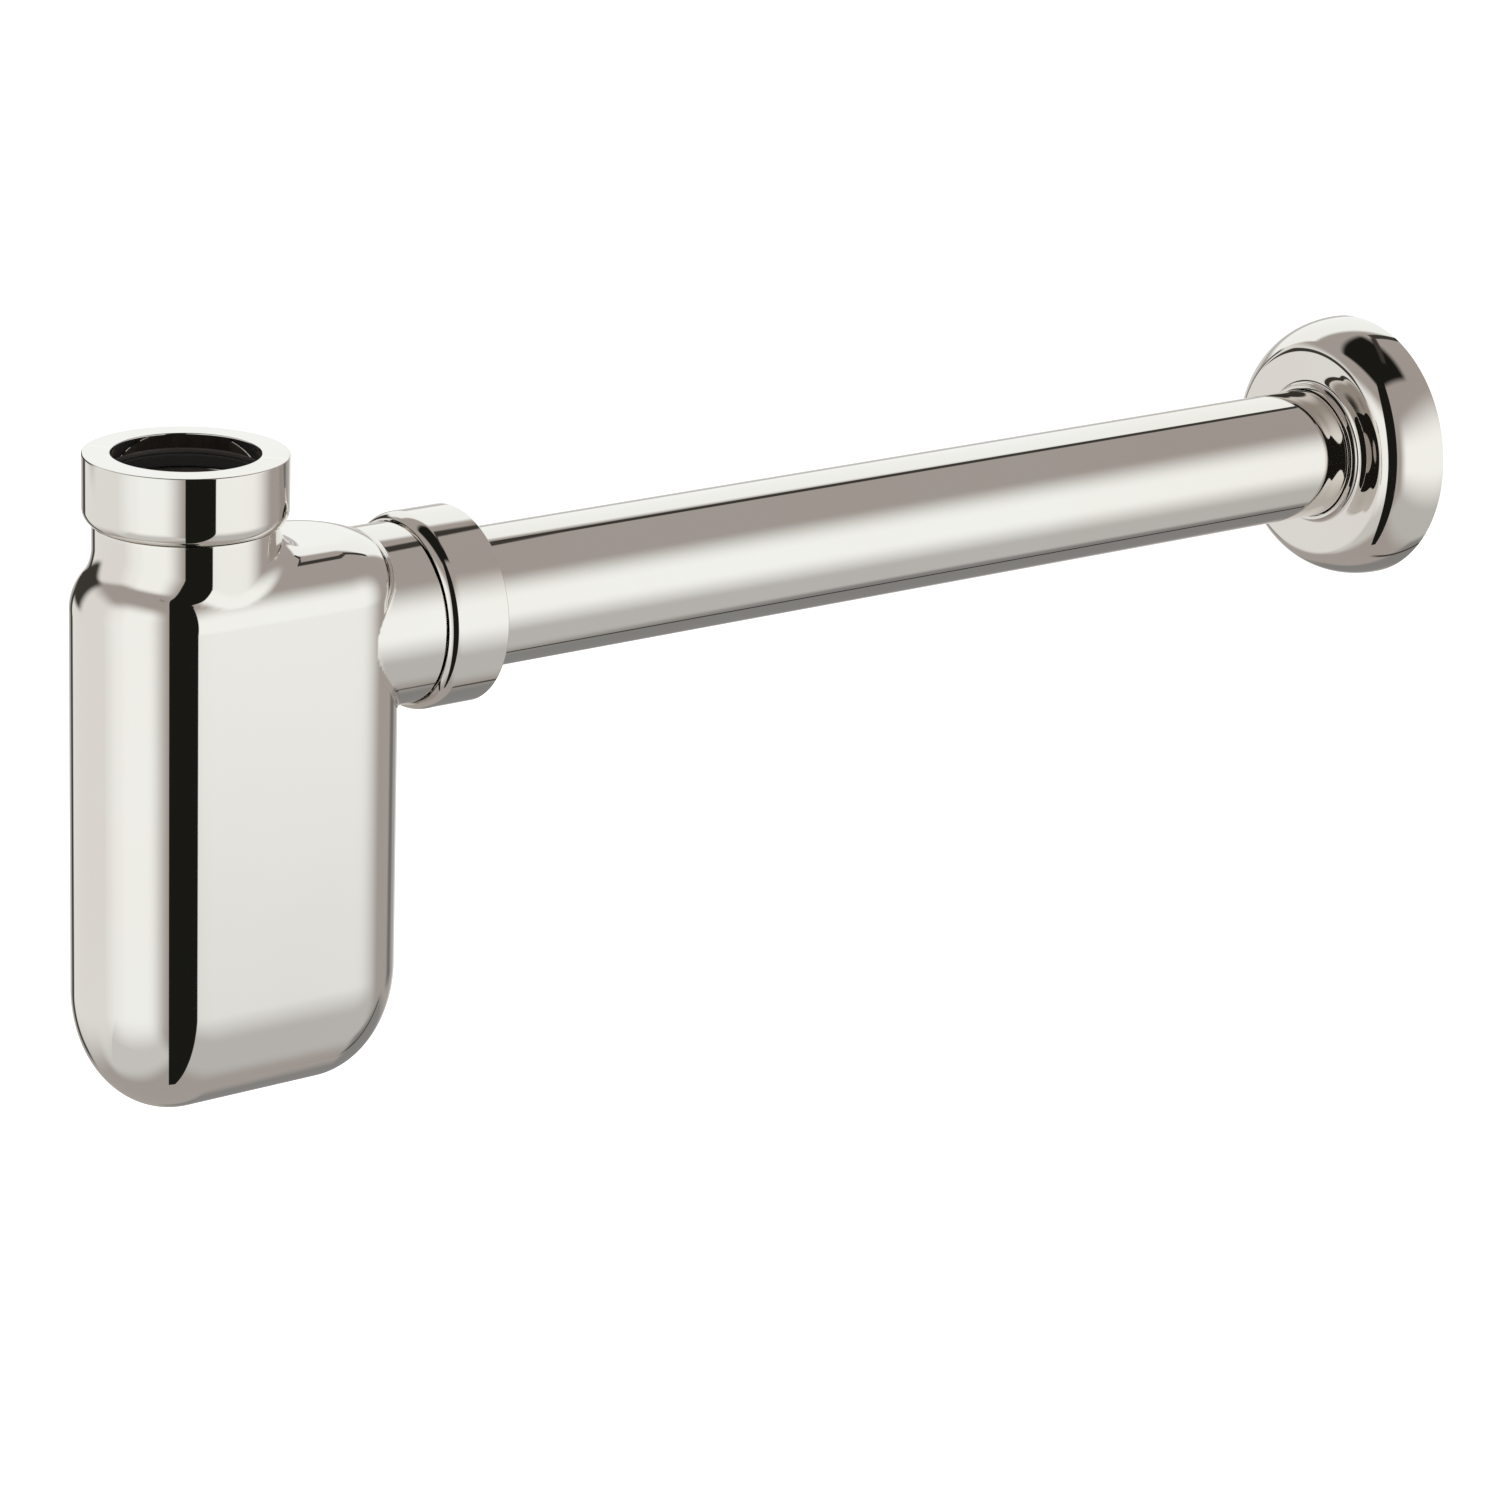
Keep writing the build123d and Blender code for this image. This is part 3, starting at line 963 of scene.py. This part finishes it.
class TRAP_OT_wall_flange(bpy.types.Operator):
    """Make the domed wall flange"""

    bl_idname = "trap.wall_flange"
    bl_label = "Wall flange"

    def execute(self, context):
        s = context.scene.trap_flange
        face, rim, front = FLANGE_HIGH.x, FLANGE_HIGH.y, FLANGE_LOW.x
        crest, crest_x = rim - s.reach, face - s.depth
        dish_x = crest_x + s.dish_depth
        fillet = s.dish - s.neck
        turn, slope = s.crest_turn, s.dish_slope
        outline = arc((crest, face), (s.reach, s.depth), 0, -turn, 44)
        edge = Vector(outline[-1])
        forward = Vector((-s.reach * math.sin(turn), -s.depth * math.cos(turn))).normalized()
        inward = Vector((-math.cos(slope), math.sin(slope)))
        brow = Vector((crest - s.brow_in, crest_x + s.brow_back))
        outline += bezier([edge, edge + forward * 2 * MM, brow - inward * 2.2 * MM, brow], 20)
        foot, before = (s.dish, dish_x), (s.dish + 1.2 * MM, dish_x)
        outline += bezier([brow, brow + inward * 1.6 * MM, before, foot], 20)
        fillet_centre = (s.dish, dish_x - fillet)
        outline += arc(fillet_centre, (fillet, fillet), math.pi / 2, math.pi, 16)[1:]
        outline += rounded(
            [
                (s.neck, dish_x - fillet, 0),
                (s.neck, front, 0.12 * MM),
                (s.hole, front, 0.12 * MM),
                (s.hole, s.groove_start, 0),
                (s.groove, s.groove_start, 0),
                (s.groove, s.groove_end, 0),
                (s.hole, s.groove_end, 0),
                (s.hole, s.hub_end, 0.3 * MM),
                (s.hub, s.hub_end, 0.3 * MM),
                (s.hub, dish_x + s.wall, 0.5 * MM),
            ]
        )[1:]
        hollow = (s.reach - s.wall, s.depth - s.wall)
        outline += arc((crest, face), hollow, -math.pi / 2, 0, 24)

        def behind(r, z):
            return in_hollow(s, r, z, crest, face)

        finishes = ("polished_nickel", "raw_bore")
        piece = lathe("wall_flange_spun", outline, ON_TUBE, "flange", finishes, behind, steps=320)
        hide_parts("wall_flange")
        return {"FINISHED"}


def in_hollow(s, r, z, crest, face):
    """True on the flange's open back, inside its rolled rim."""
    if r > crest:
        across = (r - crest) / (s.reach - s.wall / 2)
        along = (face - z) / (s.depth - s.wall / 2)
        return across * across + along * along < 1
    share = max(r - s.hub, 0) / (crest - s.hub)
    front = face - s.depth + s.dish_depth * (1 - share)
    on_back = r > s.hub - 0.1 * MM or z > s.hub_end - 0.8 * MM
    return on_back and z > front + s.wall - 0.3 * MM


# ---------------------------------------------------------------- the studio


def facing(azimuth, elevation):
    """Unit vector towards a heading and a height above the horizon, in degrees."""
    a, e = math.radians(azimuth), math.radians(elevation)
    return Vector((math.cos(a) * math.cos(e), math.sin(a) * math.cos(e), math.sin(e)))


def sheet(name, corners, material):
    """A flat four-cornered sheet."""
    mesh = bpy.data.meshes.new(name)
    mesh.from_pydata(corners, [], [(0, 1, 2, 3)])
    layer = mesh.uv_layers.new(name="UVMap")
    for corner, place in zip(layer.data, ((0, 0), (1, 0), (1, 1), (0, 1))):
        corner.uv = place
    mesh.materials.append(material)
    made = bpy.data.objects.new(name, mesh)
    bpy.context.scene.collection.objects.link(made)
    return made


def card_light(name, width, height, colour, fades):
    """Even light that fades out along a card's left, right, lower and upper edges."""
    f = Finish(name)
    own = f.node("ShaderNodeUVMap", {"uv_map": "UVMap"})
    x = f.node("ShaderNodeSeparateXYZ", None, own, output=0)
    y = f.node("ShaderNodeSeparateXYZ", None, own, output=1)
    left, right, lower, upper = fades
    mask = f.between(x * width, 0, left) * f.between((1 - x) * width, 0, right)
    mask = mask * f.between(y * height, 0, lower) * f.between((1 - y) * height, 0, upper)
    clear = f.node("ShaderNodeBsdfTransparent")
    light = f.node("ShaderNodeEmission", None, (*colour, 1), 1.0)
    shade = f.node("ShaderNodeMixShader", None, mask, clear, light)
    f.node("ShaderNodeOutputMaterial", None, shade)
    f.material.cycles.emission_sampling = "NONE"
    return f.material


def card(name, centre, across, up, size, colour, fades):
    """A soft-edged studio card that only reflections see."""
    width, height = size
    across, up = across.normalized() * width / 2, up.normalized() * height / 2
    low, high = centre - up, centre + up
    corners = [low - across, low + across, high + across, high - across]
    made = sheet(name, corners, card_light(name, width, height, colour, fades))
    made.visible_camera = made.visible_diffuse = made.visible_shadow = False
    made.visible_transmission = made.visible_volume_scatter = False


WHITE = (1.10, 1.13, 1.12)
WARM = (1.09, 1.08, 1.06)
DARK = (0.012, 0.012, 0.010)
SOOT = (0.05, 0.045, 0.04)
MIDDLE = Vector((0.10, 0.0, -0.08))
LAMP_PLACE = Vector((-0.4, -0.9, 1.6))
FLOOR_REACH = 30
ALONG, INWARD, UPRIGHT = (1, 0, 0), (0, 1, 0), (0, 0, 1)

# Cards round the trap, in metres: name, azimuth, elevation, distance, width,
# height, tone, brightness, fades (left, right, lower, upper)
SOFTBOXES = (
    ("front_box", 297, 2, 2.0, 4.9, 3.65, WHITE, 1.0, (1.2, 1.9, 1.5, 1.6)),
    ("front_low_box", 299, -45, 2.7, 5.6, 3.0, WARM, 0.52, (1.2, 1.2, 0.9, 0.9)),
    ("left_low_box", 185, -45, 2.7, 4.8, 3.0, WARM, 0.62, (1.0, 1.0, 0.9, 0.9)),
    ("left_box", 196, 0, 2.0, 3.5, 4.0, WHITE, 0.98, (1.5, 1.25, 1.4, 1.2)),
    ("back_left_box", 136, -6, 2.3, 5.4, 4.6, WARM, 0.80, (0.9, 0.9, 1.6, 1.2)),
    ("back_top_box", 58, 28, 2.0, 3.0, 1.75, WHITE, 0.96, (0.35, 0.3, 0.35, 0.25)),
    ("back_low_box", 58, -12, 2.2, 1.9, 1.5, WARM, 0.68, (0.3, 0.3, 0.3, 0.3)),
    ("back_shade", 27, -45, 1.9, 2.0, 1.2, WARM, 0.24, (0.3, 0.3, 0.3, 0.25)),
    ("side_shade", 17, -14, 1.8, 0.62, 0.9, WARM, 0.17, (0.25, 0.25, 0.2, 0.2)),
    ("side_flag", 92, -10, 1.7, 0.34, 1.8, WARM, 0.05, (0.08, 0.08, 0.2, 0.2)),
)


# Dark cards: name, middle, across, up, (width, height), colour, fades
DARK_CARDS = (
    ("black_card", (-0.1034, -0.4236, -0.65), (0.21, -0.16, 0), UPRIGHT,
     (0.285, 5.1), DARK, (0.006, 0.01, 0.01, 0.01)),
    ("roof_flag", (1.28, 0.45, 1.08), ALONG, (0, 0.927, -0.375),
     (0.86, 0.165), SOOT, (0.02, 0.2, 0.03, 0.03)),
    ("roof_strip", (0.66, 0.12, 1.08), (0.35, 0.5, 0), (0.5, -0.35, 0),
     (0.8, 0.12), SOOT, (0.1, 0.1, 0.03, 0.03)),
    ("floor_flag", (0.9, 0.03, -0.8), ALONG, INWARD,
     (1.0, 0.055), SOOT, (0.2, 0.2, 0.015, 0.015)),
    ("back_flag", (0.014, 0.308, 0.043), facing(226, 0), UPRIGHT,
     (0.42, 0.2), SOOT, (0.06, 0.06, 0.03, 0.04)),
    ("roof_card", (0.1, 0, 1.9), ALONG, INWARD,
     (2.2, 2.2), DARK, (0.3, 0.3, 0.3, 0.3)),
)


class TRAP_OT_studio(bpy.types.Operator):
    """Make the floor, the light, the studio cards and the camera"""

    bl_idname = "trap.studio"
    bl_label = "Studio"

    def execute(self, context):
        scene = context.scene
        s = scene.trap_studio
        self.lay_floor(CAD_BOX[0][2] - s.floor_drop)
        for name, azimuth, elevation, distance, width, height, tone, bright, fades in SOFTBOXES:
            towards, across = facing(azimuth, elevation), facing(azimuth + 90, 0)
            place = MIDDLE + towards * distance
            colour = tuple(c * bright for c in tone)
            card(name, place, across, towards.cross(across), (width, height), colour, fades)
        for name, place, across, up, size, colour, fades in DARK_CARDS:
            card(name, Vector(place), Vector(across), Vector(up), size, colour, fades)
        self.light_room(scene, s)
        self.place_camera(scene, s)
        return {"FINISHED"}

    def lay_floor(self, level):
        """Lays a pale floor that reflections don't see."""
        f = Finish("pale_floor")
        sockets = {
            "Base Color": f.mix(f.noise(3, 2), (0.93, 0.93, 0.93), (0.95, 0.95, 0.95)),
            "Roughness": 0.9,
            "Emission Color": (1, 1, 1, 1),
            "Emission Strength": 0.9,
        }
        near, far = -FLOOR_REACH, FLOOR_REACH
        corners = [(near, near, level), (far, near, level), (far, far, level), (near, far, level)]
        floor = sheet("floor", corners, f.surface(sockets))
        floor.visible_glossy = False

    def light_room(self, scene, s):
        """Fills the room with even light and hangs one soft lamp."""
        world = bpy.data.worlds.new("room")
        world.use_nodes = True
        back = next(n for n in world.node_tree.nodes if n.type == "BACKGROUND")
        back.inputs["Color"].default_value = (*s.base, 1)
        scene.world = world
        scene.view_settings.view_transform = "Standard"
        lamp = bpy.data.lights.new("soft_lamp", "AREA")
        lamp.energy = 12
        lamp.size = 2.0
        lamp.use_shadow = False
        held = bpy.data.objects.new("soft_lamp", lamp)
        held.location = LAMP_PLACE
        held.rotation_euler = (MIDDLE - LAMP_PLACE).to_track_quat("-Z", "Y").to_euler()
        held.visible_glossy = False
        scene.collection.objects.link(held)

    def place_camera(self, scene, s):
        """Puts the camera at its heading, height and roll, looking at its target."""
        level = Vector((math.cos(s.azimuth), math.sin(s.azimuth), 0))
        forward = level * math.cos(s.elevation) - Vector((0, 0, math.sin(s.elevation)))
        right = Vector((level.y, -level.x, 0))
        down = forward.cross(right)
        x = right * math.cos(s.roll) + down * math.sin(s.roll)
        y = right * math.sin(s.roll) - down * math.cos(s.roll)
        data = bpy.data.cameras.new("camera")
        data.sensor_width = 36
        data.lens = s.lens
        data.dof.use_dof = False
        data.clip_start = 0.05
        data.clip_end = 100
        camera = bpy.data.objects.new("camera", data)
        turn = Matrix((x, y, -forward)).transposed().to_4x4()
        camera.matrix_world = Matrix.Translation(Vector(s.target) - forward * s.distance) @ turn
        scene.collection.objects.link(camera)
        scene.camera = camera


OPERATORS = (
    TRAP_OT_cast_body,
    TRAP_OT_slip_nuts,
    TRAP_OT_seals,
    TRAP_OT_pipes,
    TRAP_OT_wall_flange,
    TRAP_OT_studio,
)


class TRAP_PT_panel(bpy.types.Panel):
    """Lists the trap's pieces and their sizes"""

    bl_idname = "TRAP_PT_panel"
    bl_label = "P Trap"
    bl_space_type = "VIEW_3D"
    bl_region_type = "UI"
    bl_category = "P Trap"

    def draw(self, context):
        for operator in OPERATORS:
            self.layout.operator(operator.bl_idname)
        for name, group in GROUPS.items():
            box = self.layout.box()
            box.label(text=group.__doc__)
            for size in group.__annotations__:
                box.prop(getattr(context.scene, name), size)


def register():
    for group in GROUPS.values():
        bpy.utils.register_class(group)
    for name, group in GROUPS.items():
        setattr(bpy.types.Scene, name, PointerProperty(type=group))
    for operator in OPERATORS:
        bpy.utils.register_class(operator)
    bpy.utils.register_class(TRAP_PT_panel)


def unregister():
    bpy.utils.unregister_class(TRAP_PT_panel)
    for operator in reversed(OPERATORS):
        bpy.utils.unregister_class(operator)
    for name, group in GROUPS.items():
        delattr(bpy.types.Scene, name)
        bpy.utils.unregister_class(group)


def main():
    register()
    for operator in OPERATORS:
        family, action = operator.bl_idname.split(".")
        getattr(getattr(bpy.ops, family), action)()


if __name__ == "__main__":
    main()
